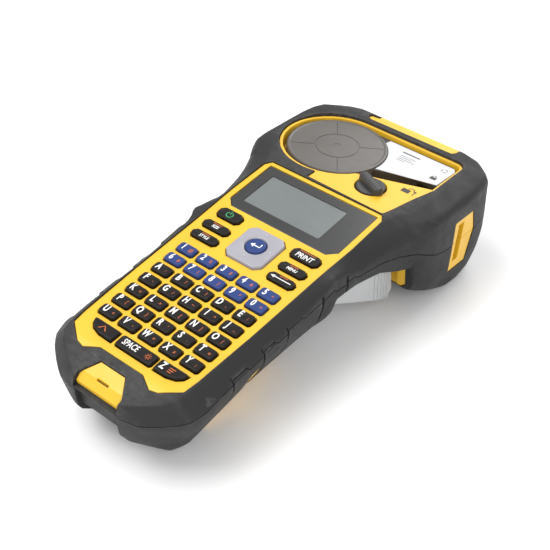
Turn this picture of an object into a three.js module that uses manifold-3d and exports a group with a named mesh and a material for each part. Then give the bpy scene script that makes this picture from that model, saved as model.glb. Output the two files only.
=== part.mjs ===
// Handheld label maker with a keypad handle, a label cartridge bay in its wide head and a cutter trigger.
// Units are millimetres. The device frame has x across, y from the nose to the head and z out of the keypad;
// its origin lies in the keypad's face, on the row of keys 1 to 5. The exported group lies on its back.
import * as THREE from 'three';
import { mergeVertices } from 'three/addons/utils/BufferGeometryUtils.js';
import Module from 'manifold-3d';

const wasm = await Module();
wasm.setup();

// ---------------------------------------------------------------- driving dimensions
const REST_TILT = THREE.MathUtils.degToRad(6);   // the deep head lifts the keypad when the device lies down
const REST_DEPTH = 51;                           // depth of the resting plane, measured at right angles to it
const CREASE_Y = 75.7;                           // the deck bends down here, just past the display
const DECK_SLOPE = THREE.MathUtils.degToRad(8);
const BUMPER_CREST = 0.8;                        // the rubber stands this far above the yellow faces
const BUMPER_THICKNESS = 3;
const CASE_WALL = 2.3;
const GAP = 0.3;                                 // clearance between neighbouring pieces
const PLATE_THICKNESS = 2.4;

// Stations of the outer body, from nose to head:
// y, end (which way the surface faces along y), plate half width, half width, top drop, parting height,
// underside height, underside half width, upright (0: the flanks slope, 1: they stand)
const STATIONS = [
  [-85.3, 1, 8, 14.0, 6.4, -10.5, -22.0, 12.0, 0],
  [-83.4, 1, 14, 23.5, 4.8, -10.0, -26.0, 17.0, 0],
  [-79.0, 1, 22, 30.4, 3.2, -9.5, -30.5, 20.5, 0],
  [-74.0, 0.8, 29, 36.6, 2.0, -9.0, -36.5, 22.5, 0],
  [-69.5, 0.5, 33, 40.3, 1.0, -8.6, -41.8, 24.0, 0],
  [-62.0, 0, 34, 42.3, 0.2, -8.2, -45.6, 24.5, 0],
  [-50.0, 0, 34.5, 42.2, 0, -7.2, -46.6, 23.5, 0],
  [-20.0, 0, 35, 42.2, 0, -7.0, -45.6, 22.5, 0],
  [8.0, 0, 35.6, 42.2, 0, -7.0, -42.4, 22.5, 0.28],
  [19.0, -0.6, 35.8, 42.4, 0, -7.4, -37.0, 25.0, 0.5],
  [25.5, -1, 36, 42.6, 0, -7.8, -27.0, 32.0, 1],
  [29.5, -1, 36.2, 42.8, 0, -8.4, -17.0, 39.5, 0.8],
  [45.0, 0, 36.6, 44.2, 0, -10.4, -18.4, 41.5, 0.2],
  [60.0, 0, 36.8, 46.8, 0, -12.0, -20.8, 44.4, 0.3],
  [70.0, 0, 37, 49.4, 0, -14.4, -25.6, 47.4, 0.5],
  [78.6, 0.3, 39, 52.6, 0.1, -17.4, -28.5, 50, 0.7],
  [79.8, 0.9, 40, 53.2, 0.1, -18.0, -45.0, 49.0, 0.8],
  [84.6, 0.6, 43, 55.6, 0, -20.4, -49.0, 49.8, 0.9],
  [90.0, 0.4, 45, 57.2, -0.4, -23.6, -52.6, 50.6, 1],
  [98.0, 0.2, 46, 57.8, -0.8, -26.6, -57.4, 51.4, 1],
  [108.0, 0, 46, 57.8, -0.8, -29.0, -63.2, 52, 1],
  [118.0, 0, 46, 57.8, -0.8, -30.6, -65.6, 52, 1],
  [128.0, 0, 46, 57.6, -0.8, -31.6, -65.2, 51.5, 1],
  [136.0, -0.4, 45, 56.8, -0.8, -32.6, -61.0, 50, 1],
  [142.4, -0.7, 42, 55.0, -0.7, -33.4, -54.5, 47.4, 1],
  [148.6, -0.9, 37, 51.2, -0.4, -34.2, -45.6, 43.4, 0.9],
  [153.4, -1, 33, 45.6, 0.4, -34.8, -40.0, 38.6, 0.9],
  [155.9, -1, 30, 39.5, 2.2, -35.2, -38.0, 34.5, 0.9],
].map(([y, end, plate, half, drop, part, under, underHalf, upright]) =>
  ({ y, end, plate, half, drop, part, under, underHalf, upright }));

// Corner points of a flank, for a sloping and for an upright one, as shares of the space they span:
// above the parting line from the crest outwards and down, below it from the parting line inwards and down.
const UPPER_FLANK = [
  { sloping: [0.5, 0.45], upright: [0.74, 0.035] },
  { sloping: [0.93, 0.88], upright: [0.97, 0.15] },
];
const LOWER_FLANK = [
  { sloping: [0.03, 0.13], upright: [0, 0.15] },
  { sloping: [0.33, 0.45], upright: [0.02, 0.55] },
  { sloping: [0.66, 0.77], upright: [0.3, 0.88] },
  { sloping: [1, 1], upright: [1, 1] },
];

// Right half of the yellow keypad plate's outline; the left half mirrors it.
const PLATE_OUTLINE = [
  [12.5, -67.6], [19.6, -71.6], [24, -70.6], [32.8, -64], [33.8, -56], [35, -24], [35.8, 20], [36.8, 48],
  [36.6, 72], [34, CREASE_Y + 0.3],
];

// The cartridge bay: a shallow pan round the cartridge's lid above a deeper well, both a circle round the reel
// drawn out to a square corner at the right.
const BAY = { x: -21, right: 39.6, foot: 36.6, wall: 1.5, rim: 1.9 };
const BAY_PAN = { s: 37.4, radius: 28.4, throat: new THREE.Vector2(2.9, 21.8), depth: 8 };
const BAY_WELL = { s: 40.2, radius: 25.6, throat: new THREE.Vector2(1.6, 28), depth: 38 };
const DECK_PLATE = [[-13.2, 1.6], [33.6, 0.6], [41.6, 34.6], [41.6, 40], [2, 40], [-13.2, 12]];
const FAR_BAR = [
  [-22.5, 71.2], [29, 71.6], [30.5, 73.5], [30.5, 92], [-20.5, 92], [-20.5, 77.6], [-25, 77], [-26, 74.5],
];

const KEYPAD = { x: 0.6, pitchX: 12.28, pitchY: 8.44, width: 10, height: 5.8, top: 1.5, bottom: -3.2 };
const KEY_CLEARANCE = 0.45;
const NAV_PAD = { x: 0.6, y: 20.4, width: 21.6, height: 23.2 };
const ENTER_RADIUS = 5.1;

const WINDOW = { half: 33, top: 73.2, bottom: 37.4, chamfer: 4.2, thickness: 2 };
const EXIT_SLOT = { s0: 38.2, s1: 43.4, h0: -37, h1: -14 };
const BATTERY_DOOR = { half: 26.5, y0: -48, y1: 6, ear0: -30.4, ear1: -20.6, earTop: -14.6 };

// ---------------------------------------------------------------- materials
const plastic = (color, roughness = 0.45) => new THREE.MeshStandardMaterial({ color, roughness, metalness: 0 });
const MATERIAL = {
  yellow: plastic(0xf2bd1e, 0.4),
  rubber: plastic(0x35373a, 0.75),
  darkKey: plastic(0x1d1a1c, 0.55),
  blueKey: plastic(0x2c3f86, 0.5),
  navPad: plastic(0xb9b6c2, 0.5),
  trigger: plastic(0xb4b8bb, 0.5),
  window: plastic(0x2d3134, 0.15),
  cartridge: plastic(0x77716e, 0.35),
  lever: plastic(0x303236, 0.5),
  board: plastic(0x1f5a3a, 0.6),
  battery: plastic(0x2b2d30, 0.5),
  roller: plastic(0x242424, 0.85),
  steel: new THREE.MeshStandardMaterial({ color: 0xc4c7ca, roughness: 0.3, metalness: 1 }),
};

// ---------------------------------------------------------------- solids
function toSolid(geometry) {
  geometry.deleteAttribute('normal');
  geometry.deleteAttribute('uv');
  const merged = mergeVertices(geometry, 1e-4);
  return new wasm.Manifold(new wasm.Mesh({
    numProp: 3,
    vertProperties: new Float32Array(merged.attributes.position.array),
    triVerts: new Uint32Array(merged.index.array),
  }));
}

function toGeometry(solid) {
  const mesh = solid.getMesh();
  const geometry = new THREE.BufferGeometry();
  geometry.setAttribute('position', new THREE.BufferAttribute(mesh.vertProperties, 3));
  geometry.setIndex(new THREE.BufferAttribute(mesh.triVerts, 1));
  geometry.computeVertexNormals();
  return geometry;
}

const union = (first, ...others) => others.reduce((sum, solid) => sum.add(solid), first);
const carve = (first, ...others) => others.reduce((rest, solid) => rest.subtract(solid), first);

// Prism of an outline in the xy plane, between two heights.
function prismGeometry(outline, z0, z1) {
  const shape = outline instanceof THREE.Shape ? outline : new THREE.Shape(outline);
  const geometry = new THREE.ExtrudeGeometry(shape, { depth: z1 - z0, bevelEnabled: false, curveSegments: 12 });
  return geometry.translate(0, 0, z0);
}

const points = (pairs) => pairs.map(([x, y]) => new THREE.Vector2(x, y));
const prism = (outline, z0, z1) => toSolid(prismGeometry(outline, z0, z1));

// Prism of an outline given as (y, z), running along x.
function prismAcross(outline, x0, x1) {
  const geometry = new THREE.ExtrudeGeometry(new THREE.Shape(outline), { depth: x1 - x0, bevelEnabled: false });
  const alongX = new THREE.Matrix4().makeBasis(
    new THREE.Vector3(0, 1, 0), new THREE.Vector3(0, 0, 1), new THREE.Vector3(1, 0, 0));
  return toSolid(geometry.applyMatrix4(alongX).translate(x0, 0, 0));
}

// Deck coordinates are x, the distance s down the slope from the crease and the height h above the deck.
const deckMatrix = new THREE.Matrix4().makeRotationX(-DECK_SLOPE).setPosition(0, CREASE_Y, 0);
const deckPrism = (outline, h0, h1) => toSolid(prismGeometry(outline, h0, h1).applyMatrix4(deckMatrix));

const rectangle = (x0, y0, x1, y1) => points([[x0, y0], [x1, y0], [x1, y1], [x0, y1]]);

function chamferedRectangle(x, y, width, height, chamfer) {
  const a = width / 2;
  const b = height / 2;
  return points([
    [x - a + chamfer, y - b], [x + a - chamfer, y - b], [x + a, y - b + chamfer], [x + a, y + b - chamfer],
    [x + a - chamfer, y + b], [x - a + chamfer, y + b], [x - a, y + b - chamfer], [x - a, y - b + chamfer],
  ]);
}

function circle(x, y, radius, sides) {
  return Array.from({ length: sides }, (_, i) => {
    const angle = (i / sides) * 2 * Math.PI;
    return new THREE.Vector2(x + radius * Math.cos(angle), y + radius * Math.sin(angle));
  });
}

// Moves an outline's corners outwards by about the given distance.
function grown(anyOutline, distance) {
  const outline = THREE.ShapeUtils.isClockWise(anyOutline) ? anyOutline.toReversed() : anyOutline;
  return outline.map((corner, i) => {
    const before = outline[(i + outline.length - 1) % outline.length];
    const after = outline[(i + 1) % outline.length];
    const into = corner.clone().sub(before).normalize();
    const outOf = after.clone().sub(corner).normalize();
    const normal = new THREE.Vector2(into.y + outOf.y, -into.x - outOf.x).normalize();
    const spread = Math.max(0.6, normal.dot(new THREE.Vector2(into.y, -into.x)));
    return corner.clone().addScaledVector(normal, distance / spread);
  });
}

// ---------------------------------------------------------------- outer body
const deckHeight = (y) => (y > CREASE_Y ? -(y - CREASE_Y) * Math.tan(DECK_SLOPE) : 0);

// One cross-section of the body, moved in by an inset on the flanks and by a sink on the top face.
function bodySection(station, inset, sink) {
  const part = station.part + 0.35 * inset;
  const top = Math.max(deckHeight(station.y) + BUMPER_CREST - station.drop - sink, part + 0.8);
  const half = station.half - inset;
  const under = station.under + inset;
  const underHalf = Math.max(2, station.underHalf - 0.5 * inset);
  const plate = Math.min(station.plate, half - 5);
  const mixed = ({ sloping, upright }) =>
    sloping.map((share, i) => share + (upright[i] - share) * station.upright);
  const right = [
    [plate, top],
    ...UPPER_FLANK.map(mixed).map(([out, down]) => [plate + (half - plate) * out, top + (part - top) * down]),
    [half, part],
    ...LOWER_FLANK.map(mixed).map(([inward, down]) =>
      [half + (underHalf - half) * inward, part + (under - part) * down]),
  ];
  const y = station.y + inset * station.end;
  const left = right.map(([x, z]) => [-x, z]).reverse();
  return [...right, ...left].map(([x, z]) => new THREE.Vector3(x, y, z));
}

function loft(sections) {
  const count = sections[0].length;
  const flat = sections.flat();
  const first = flat.length;
  const index = [];
  for (let i = 0; i + 1 < sections.length; i++) {
    for (let j = 0; j < count; j++) {
      const a = i * count + j;
      const b = i * count + ((j + 1) % count);
      index.push(a, b, a + count, b, b + count, a + count);
    }
  }
  const centre = (section) => section.reduce((sum, p) => sum.add(p), new THREE.Vector3()).divideScalar(count);
  flat.push(centre(sections[0]), centre(sections.at(-1)));
  const last = first - count;
  for (let j = 0; j < count; j++) {
    const next = (j + 1) % count;
    index.push(first, next, j);
    index.push(first + 1, last + j, last + next);
  }
  const geometry = new THREE.BufferGeometry().setFromPoints(flat);
  geometry.setIndex(index);
  return toSolid(geometry);
}

const body = (inset, sink) => loft(STATIONS.map((station) => bodySection(station, inset, sink)));

// Everything above the parting line, lowered by the given distance.
function abovePartingLine(lowered) {
  const line = STATIONS.map(({ y, part }) => [y, part - lowered]);
  return prismAcross(points([[-120, line[0][1]], ...line, [190, line.at(-1)[1]], [190, 60], [-120, 60]]), -80, 80);
}

const belowFloor = toSolid(new THREE.BoxGeometry(300, 500, 60).translate(0, 0, -REST_DEPTH - 30)
  .applyMatrix4(new THREE.Matrix4().makeRotationX(-REST_TILT)));

const mirrored = (half) => points([...half, ...half.map(([x, y]) => [-x, y]).reverse()]);
const plateOutline = mirrored(PLATE_OUTLINE);

function bayOutline({ s, radius, throat }, offset) {
  const { x, right, foot } = BAY;
  const corner = 4;
  const start = Math.atan2(throat.y - s, throat.x - x);
  const shape = new THREE.Shape();
  shape.absarc(x, s, radius + offset, start, Math.PI / 2, true);
  shape.lineTo(right - corner, s + radius + offset);
  shape.absarc(right - corner, s + radius - corner, corner + offset, Math.PI / 2, 0, true);
  shape.lineTo(right + offset, foot - 0.8 * offset);
  return shape;
}

// The bay's hollow, with its walls moved outwards by an offset.
const baySpace = (offset, mouth) => union(
  deckPrism(bayOutline(BAY_PAN, offset), -BAY_PAN.depth - offset, mouth),
  deckPrism(bayOutline(BAY_WELL, offset), -BAY_WELL.depth - offset, mouth));

// ---------------------------------------------------------------- trigger and its pocket in the underside
const TRIGGER_PROFILE = points([
  [28.4, -18.2], [50, -20.6], [75.4, -27.4], [77.2, -45.6], [73.6, -49.4], [62, -43.6], [51, -36.6],
  [38.5, -28.4], [28.8, -21.6],
]);
const POCKET_PROFILE = points([
  [26.8, -15.9], [50, -15.6], [78.4, -19], [78.4, -27], [81.2, -34], [81.2, -70], [26.8, -70],
]);
const triggerPlan = (grow) => points([
  [-36 - grow, 20], [36 + grow, 20], [37 + grow, 30], [41.5 + grow, 66], [41.5 + grow, 86],
  [-41.5 - grow, 86], [-41.5 - grow, 66], [-37 - grow, 30],
]);
const pocket = prismAcross(POCKET_PROFILE, -60, 60).intersect(prism(triggerPlan(1), -80, 0));
const pocketShell = prismAcross(grown(POCKET_PROFILE, 1.5), -60, 60)
  .intersect(prism(triggerPlan(1 + 1.5), -80, 0));

// The case shows beside the trigger on the head's front wall, through an opening in the rubber.
function frontOpening(clearance) {
  const half = 47.6 - clearance;
  const bottom = -47.4 + clearance;
  const outline = points([
    [-half + 5, bottom], [half - 5, bottom], [half, bottom + 5], [half, -22], [-half, -22], [-half, bottom + 5]]);
  return toSolid(prismGeometry(outline, -88, -74).rotateX(Math.PI / 2));
}

// ---------------------------------------------------------------- battery door
function doorCutter(clearance) {
  const { half, y0, y1, ear0, ear1, earTop } = BATTERY_DOOR;
  const c = clearance;
  const leaf = prism(rectangle(-half + c, y0 + c, half - c, y1 - c), -80, -20);
  const ears = prism(rectangle(-50, ear0 + c, 50, ear1 - c), -80, earTop - c);
  return union(leaf, ears);
}

// ---------------------------------------------------------------- label exit on the right flank
const EXIT_BEZEL = points([[104.2, -46.6], [121.2, -49.8], [127.4, -31], [124.8, -18], [107.2, -15]]);
const exitSlot = deckPrism(rectangle(30, EXIT_SLOT.s0, 70, EXIT_SLOT.s1), EXIT_SLOT.h0, EXIT_SLOT.h1);

// ---------------------------------------------------------------- keys
function keyOutline(key, grow) {
  if (key.outline) return grown(key.outline, grow);
  if (key.radius) return circle(key.x, key.y, key.radius + grow, 24);
  return chamferedRectangle(key.x, key.y, key.width + 2 * grow, key.height + 2 * grow, key.chamfer);
}

function gridKeys() {
  const rows = ['12345', '67890', 'abcde', 'fghij', 'klmno', 'pqrst', 'uvwxy'];
  return rows.flatMap((row, r) => [...row].map((label, column) => ({
    name: `key_${label}`,
    x: KEYPAD.x + (column - 2) * KEYPAD.pitchX,
    y: -r * KEYPAD.pitchY,
    width: KEYPAD.width,
    height: KEYPAD.height,
    chamfer: 1,
    material: r < 2 ? MATERIAL.blueKey : MATERIAL.darkKey,
  })));
}

const bottomY = -7 * KEYPAD.pitchY - 0.4;
const BOTTOM_CORNER = [[-26.8, 3], [-26, 0.4], [-23.6, -1.8], [-19, -3.2], [-11.6, -3.4], [-11.6, 3]];
const shiftOutline = points(BOTTOM_CORNER.map(([x, y]) => [x + KEYPAD.x, y + bottomY]));
const zOutline = points(BOTTOM_CORNER.map(([x, y]) => [KEYPAD.x - x + 1.6, y + bottomY]).reverse());

const KEYS = [
  ...gridKeys(),
  { name: 'key_shift', outline: shiftOutline, material: MATERIAL.darkKey },
  { name: 'key_space', x: 1.6, y: bottomY - 0.2, width: 21, height: 6.4, chamfer: 1, material: MATERIAL.darkKey },
  { name: 'key_z', outline: zOutline, material: MATERIAL.darkKey },
  { name: 'key_power', x: -23.6, y: 30.4, width: 13.8, height: 6.8, chamfer: 2, material: MATERIAL.darkKey },
  { name: 'key_size', x: -23.4, y: 20, width: 15.6, height: 5.2, chamfer: 1.8, material: MATERIAL.darkKey },
  { name: 'key_style', x: -23.2, y: 11.4, width: 15.6, height: 5.2, chamfer: 1.8, material: MATERIAL.darkKey },
  { name: 'key_print', x: 23.2, y: 29.4, width: 15.8, height: 6.6, chamfer: 2, material: MATERIAL.darkKey },
  { name: 'key_menu', x: 23.6, y: 19.2, width: 14.8, height: 5.2, chamfer: 1.8, material: MATERIAL.darkKey },
  { name: 'key_erase', x: 23.6, y: 10.8, width: 14.8, height: 5.2, chamfer: 1.8, material: MATERIAL.darkKey },
  { name: 'key_enter', x: NAV_PAD.x - 0.4, y: NAV_PAD.y + 0.8, radius: ENTER_RADIUS, material: MATERIAL.blueKey },
];
const navOutline = chamferedRectangle(NAV_PAD.x, NAV_PAD.y, NAV_PAD.width, NAV_PAD.height, 3);

// ---------------------------------------------------------------- assembly
const deckFrame = new THREE.Group();
deckFrame.position.y = CREASE_Y;
deckFrame.rotation.x = -DECK_SLOPE;

const device = new THREE.Group();
device.rotation.x = REST_TILT;
device.add(deckFrame);

function addPiece(parent, name, solidOrGeometry, material) {
  const geometry = solidOrGeometry.isBufferGeometry ? solidOrGeometry : toGeometry(solidOrGeometry);
  const mesh = new THREE.Mesh(geometry, material.clone());
  mesh.name = name;
  parent.add(mesh);
  return mesh;
}

function buildHousing() {
  const envelope = carve(body(0, 0), belowFloor);
  const rubberInside = body(BUMPER_THICKNESS, BUMPER_THICKNESS + 0.4);
  const caseOutside = body(BUMPER_THICKNESS + GAP, BUMPER_THICKNESS + 0.4 + GAP);
  const cavity = body(BUMPER_THICKNESS + GAP + CASE_WALL, BUMPER_THICKNESS + 0.4 + GAP + CASE_WALL);

  const upperHalf = abovePartingLine(0);
  const lowerCut = abovePartingLine(GAP);

  // yellow faces that show through the rubber
  const plateFace = (c, z1) => prism(grown(plateOutline, -c), -5, z1);
  const deckFace = (c, h1) => union(
    deckPrism(bayOutline(BAY_PAN, BAY.rim - c), -5, h1),
    deckPrism(grown(points(DECK_PLATE), -c), -5, h1));
  const barFace = (c, h1) => deckPrism(grown(points(FAR_BAR), -c), -8 + c, h1);
  const bezel = (c, x1) => prismAcross(grown(EXIT_BEZEL, -c), 46, x1);
  const noseFace = (c) => prism(points([
    [-13 + c, -95], [13 - c, -95], [13 - c, -81 + c], [7.4 - c, -72.2 - c], [-7.4 + c, -72.2 - c],
    [-13 + c, -81 + c]]), -9 + c, 10);

  const noseRecess = prismAcross(points([
    [-95, -9.4], [-82.9, -9.4], [-82.9, -21.4], [-81.6, -24.2], [-77.3, -29.1], [-72.4, -35], [-67.5, -40.6],
    [-62, -46], [-62, -52], [-95, -52]]), -12.6, 12.6);
  const rubber = carve(envelope, rubberInside, plateFace(0, 20), deckFace(0, 20), barFace(0, 20),
    bezel(0, 80), noseFace(0), noseRecess, frontOpening(0), pocket, doorCutter(0));
  addPiece(device, 'upper_bumper', rubber.intersect(upperHalf), MATERIAL.rubber);
  addPiece(device, 'lower_bumper', carve(rubber, lowerCut), MATERIAL.rubber);

  const noseFill = prismAcross(points([
    [-71, -14], [-71, -0.8], [-79, -3.4], [-83, -6.4], [-83, -14]]), -12.6, 12.6);
  const strapSlit = prism(rectangle(-3.4, -79.5, 3.4, -78.5), -7, 5);
  const raised = union(
    plateFace(GAP, 0), deckFace(GAP, 0), barFace(GAP, -0.2), bezel(GAP, 57.2),
    noseFill.intersect(noseFace(GAP)), frontOpening(GAP).intersect(body(0.5, 0.5)));
  const skin = carve(union(caseOutside, raised.intersect(envelope)), cavity);
  const pocketWalls = pocketShell.intersect(caseOutside);

  const underPlate = prism(grown(plateOutline, -5), -6, -PLATE_THICKNESS);
  const windowHole = prism(windowOutline(GAP), -10, 5);
  const keyHoles = [...KEYS.filter((key) => key.name !== 'key_enter')
    .map((key) => keyOutline(key, KEY_CLEARANCE)), grown(navOutline, KEY_CLEARANCE)]
    .map((outline) => prism(outline, -10, 5));
  const bayWalls = baySpace(BAY.wall, -1).intersect(caseOutside);
  const bayInside = baySpace(0, 20);

  const upper = carve(union(skin.intersect(upperHalf), bayWalls),
    underPlate, windowHole, ...keyHoles, bayInside, exitSlot, leverWell(), strapSlit);
  addPiece(device, 'upper_case', upper, MATERIAL.yellow);

  const lower = carve(union(skin, pocketWalls), lowerCut, pocket, exitSlot, doorCutter(0),
    baySpace(BAY.wall + GAP, 20));
  addPiece(device, 'lower_case', lower, MATERIAL.yellow);

  const door = carve(envelope.intersect(body(0.5, 0.5)), body(4.6, 4.6)).intersect(doorCutter(GAP));
  addPiece(device, 'battery_door', door, MATERIAL.yellow);
}

function windowOutline(grow) {
  const { half, top, bottom, chamfer } = WINDOW;
  const g = grow;
  return points([
    [-half + chamfer, bottom - g], [half - chamfer, bottom - g], [half + g, bottom + chamfer],
    [half + g, top + g], [-half - g, top + g], [-half - g, bottom + chamfer]]);
}

function buildKeys() {
  for (const key of KEYS) {
    addPiece(device, key.name, prismGeometry(keyOutline(key, 0), KEYPAD.bottom, KEYPAD.top), key.material);
  }
  const enter = KEYS.find((key) => key.name === 'key_enter');
  const pad = new THREE.Shape(navOutline);
  pad.holes.push(new THREE.Path(keyOutline(enter, KEY_CLEARANCE).reverse()));
  addPiece(device, 'nav_pad', prismGeometry(pad, KEYPAD.bottom, KEYPAD.top), MATERIAL.navPad);
}

function buildDisplayAndBoard() {
  addPiece(device, 'display_window', prismGeometry(windowOutline(0), -WINDOW.thickness - 0.3, -0.3), MATERIAL.window);
  const board = prism(chamferedRectangle(0, 4, 60, 128, 4), -10.2, -8.6);
  const display = prism(rectangle(-29, 41, 24, 70), -8.8, -3.6);
  const connector = prism(rectangle(-12, -56, 12, -50), -13, -10);
  addPiece(device, 'main_board', union(board, display, connector), MATERIAL.board);
}

function buildBattery() {
  const pack = prism(chamferedRectangle(0, -26, 43, 44, 3), -37.6, -21);
  const rail = prism(rectangle(-8, -50, 8, -46), -36, -24);
  addPiece(device, 'battery_pack', union(pack, rail), MATERIAL.battery);
}

// The cutter trigger hinges at its thin end and swings its deep end up into the head.
function buildTrigger() {
  const paddle = prismAcross(TRIGGER_PROFILE, -60, 60).intersect(prism(triggerPlan(0), -80, 0));
  addPiece(device, 'cutter_trigger', paddle, MATERIAL.trigger);
}

// ---------------------------------------------------------------- pieces square to the deck
const LEVER = { x: 15.4, s: 17, radius: 7.6 };
function leverWell() {
  return deckPrism(circle(LEVER.x, LEVER.s, LEVER.radius + 0.8, 24), -7, 5);
}

function buildLever() {
  const hub = toSolid(prismGeometry(circle(LEVER.x, LEVER.s, LEVER.radius, 24), -5.5, 0.8));
  const ridge = toSolid(prismGeometry(chamferedRectangle(0, 0, 17, 4.4, 1.6), 0, 4).rotateZ(-0.42)
    .translate(LEVER.x, LEVER.s, 0));
  addPiece(deckFrame, 'lock_lever', union(hub, ridge), MATERIAL.lever);
}

function buildCartridge() {
  const clear = 0.8;
  const top = BAY_WELL.s + BAY_WELL.radius - clear;
  const right = BAY.right - clear;
  const flag = points([
    [-22, 32], [6, 34], [27, 43], [27, 48], [right, 48], [right, top - 3.4], [right - 3.4, top], [-22, top]]);
  const lid = toSolid(prismGeometry(circle(BAY.x, 38.6, 26.9, 40), -6.4, -0.8));
  const roll = toSolid(prismGeometry(circle(BAY.x, BAY_WELL.s, BAY_WELL.radius - clear, 40), -37.2, -3));
  const housing = toSolid(prismGeometry(flag, -37.2, -1.8));
  addPiece(deckFrame, 'label_cartridge', union(lid, roll, housing), MATERIAL.cartridge);
}

function buildPrintTrain() {
  const bottom = -BAY_WELL.depth + 0.6;
  addPiece(deckFrame, 'platen_roller', prismGeometry(circle(33, 40.4, 2.6, 20), bottom, -13), MATERIAL.roller);
  const head = prismGeometry(chamferedRectangle(33, 45.2, 7, 2.6, 0.5), bottom, -13);
  addPiece(deckFrame, 'print_head', head, MATERIAL.steel);
  const blade = prismAcross(points([[27, -36], [36.6, -36], [36.6, -32], [35.2, -15], [27, -15]]), 44, 45.2);
  addPiece(deckFrame, 'cutter_blade', blade, MATERIAL.steel);
}

buildHousing();
buildDisplayAndBoard();
buildKeys();
buildBattery();
buildTrigger();
buildLever();
buildCartridge();
buildPrintTrain();

// The label maker lies on its back: floor at z = 0, centred over the origin.
const labelMaker = new THREE.Group();
labelMaker.add(device);
labelMaker.updateMatrixWorld(true);
const box = new THREE.Box3().setFromObject(labelMaker, true);
device.position.set(0, -(box.min.y + box.max.y) / 2, -box.min.z);
labelMaker.updateMatrixWorld(true);

export default labelMaker;
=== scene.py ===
"""The looks of a handheld label maker: rubber bumpers, keys with legends, display, cartridge, lever and trims
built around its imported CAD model, with procedural materials, a pale floor and soft studio light."""

import math
from itertools import pairwise

import bmesh
import bpy
from mathutils import Matrix, Vector


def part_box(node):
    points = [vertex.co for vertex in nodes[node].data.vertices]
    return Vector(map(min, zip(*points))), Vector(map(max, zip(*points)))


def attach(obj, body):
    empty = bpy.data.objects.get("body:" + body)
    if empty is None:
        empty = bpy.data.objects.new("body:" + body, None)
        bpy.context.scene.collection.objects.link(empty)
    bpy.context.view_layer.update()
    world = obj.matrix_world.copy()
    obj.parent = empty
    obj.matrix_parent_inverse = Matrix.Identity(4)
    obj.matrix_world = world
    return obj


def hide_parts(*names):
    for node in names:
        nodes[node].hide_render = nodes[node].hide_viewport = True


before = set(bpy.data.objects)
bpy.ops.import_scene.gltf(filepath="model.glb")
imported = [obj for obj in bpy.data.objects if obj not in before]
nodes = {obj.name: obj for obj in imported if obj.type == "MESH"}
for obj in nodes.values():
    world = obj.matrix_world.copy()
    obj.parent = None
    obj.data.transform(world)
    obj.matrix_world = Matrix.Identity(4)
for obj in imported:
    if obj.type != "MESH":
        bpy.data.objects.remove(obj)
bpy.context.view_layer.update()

# ---------------------------------------------------------------- the device's own frame, in millimetres
MM = 0.001
TILT = math.radians(6)  # the keypad rises towards the head when the device lies on its back
CREASE_Y = 75.7  # the deck bends down here, past the display
DECK_SLOPE = math.radians(8)
KEY_PITCH = Vector((12.28, 8.44))
KEY_MIDDLE = Vector((0.6, 0, -0.85))  # middle of the key at the centre of the top row
KEY_BOTTOM = -3.2


def device_matrix():
    """From millimetres in the device's frame to metres in the row's frame, found from a key's place."""
    low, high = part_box("key_3")
    turned = Matrix.Rotation(TILT, 4, "X")
    offset = (low + high) / 2 - turned @ (KEY_MIDDLE * MM)
    return Matrix.Translation(offset) @ turned @ Matrix.Scale(MM, 4)


DEVICE = device_matrix()
ON_DECK = Matrix.Translation((0, CREASE_Y, 0)) @ Matrix.Rotation(-DECK_SLOPE, 4, "X")
DECK = DEVICE @ ON_DECK


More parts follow.
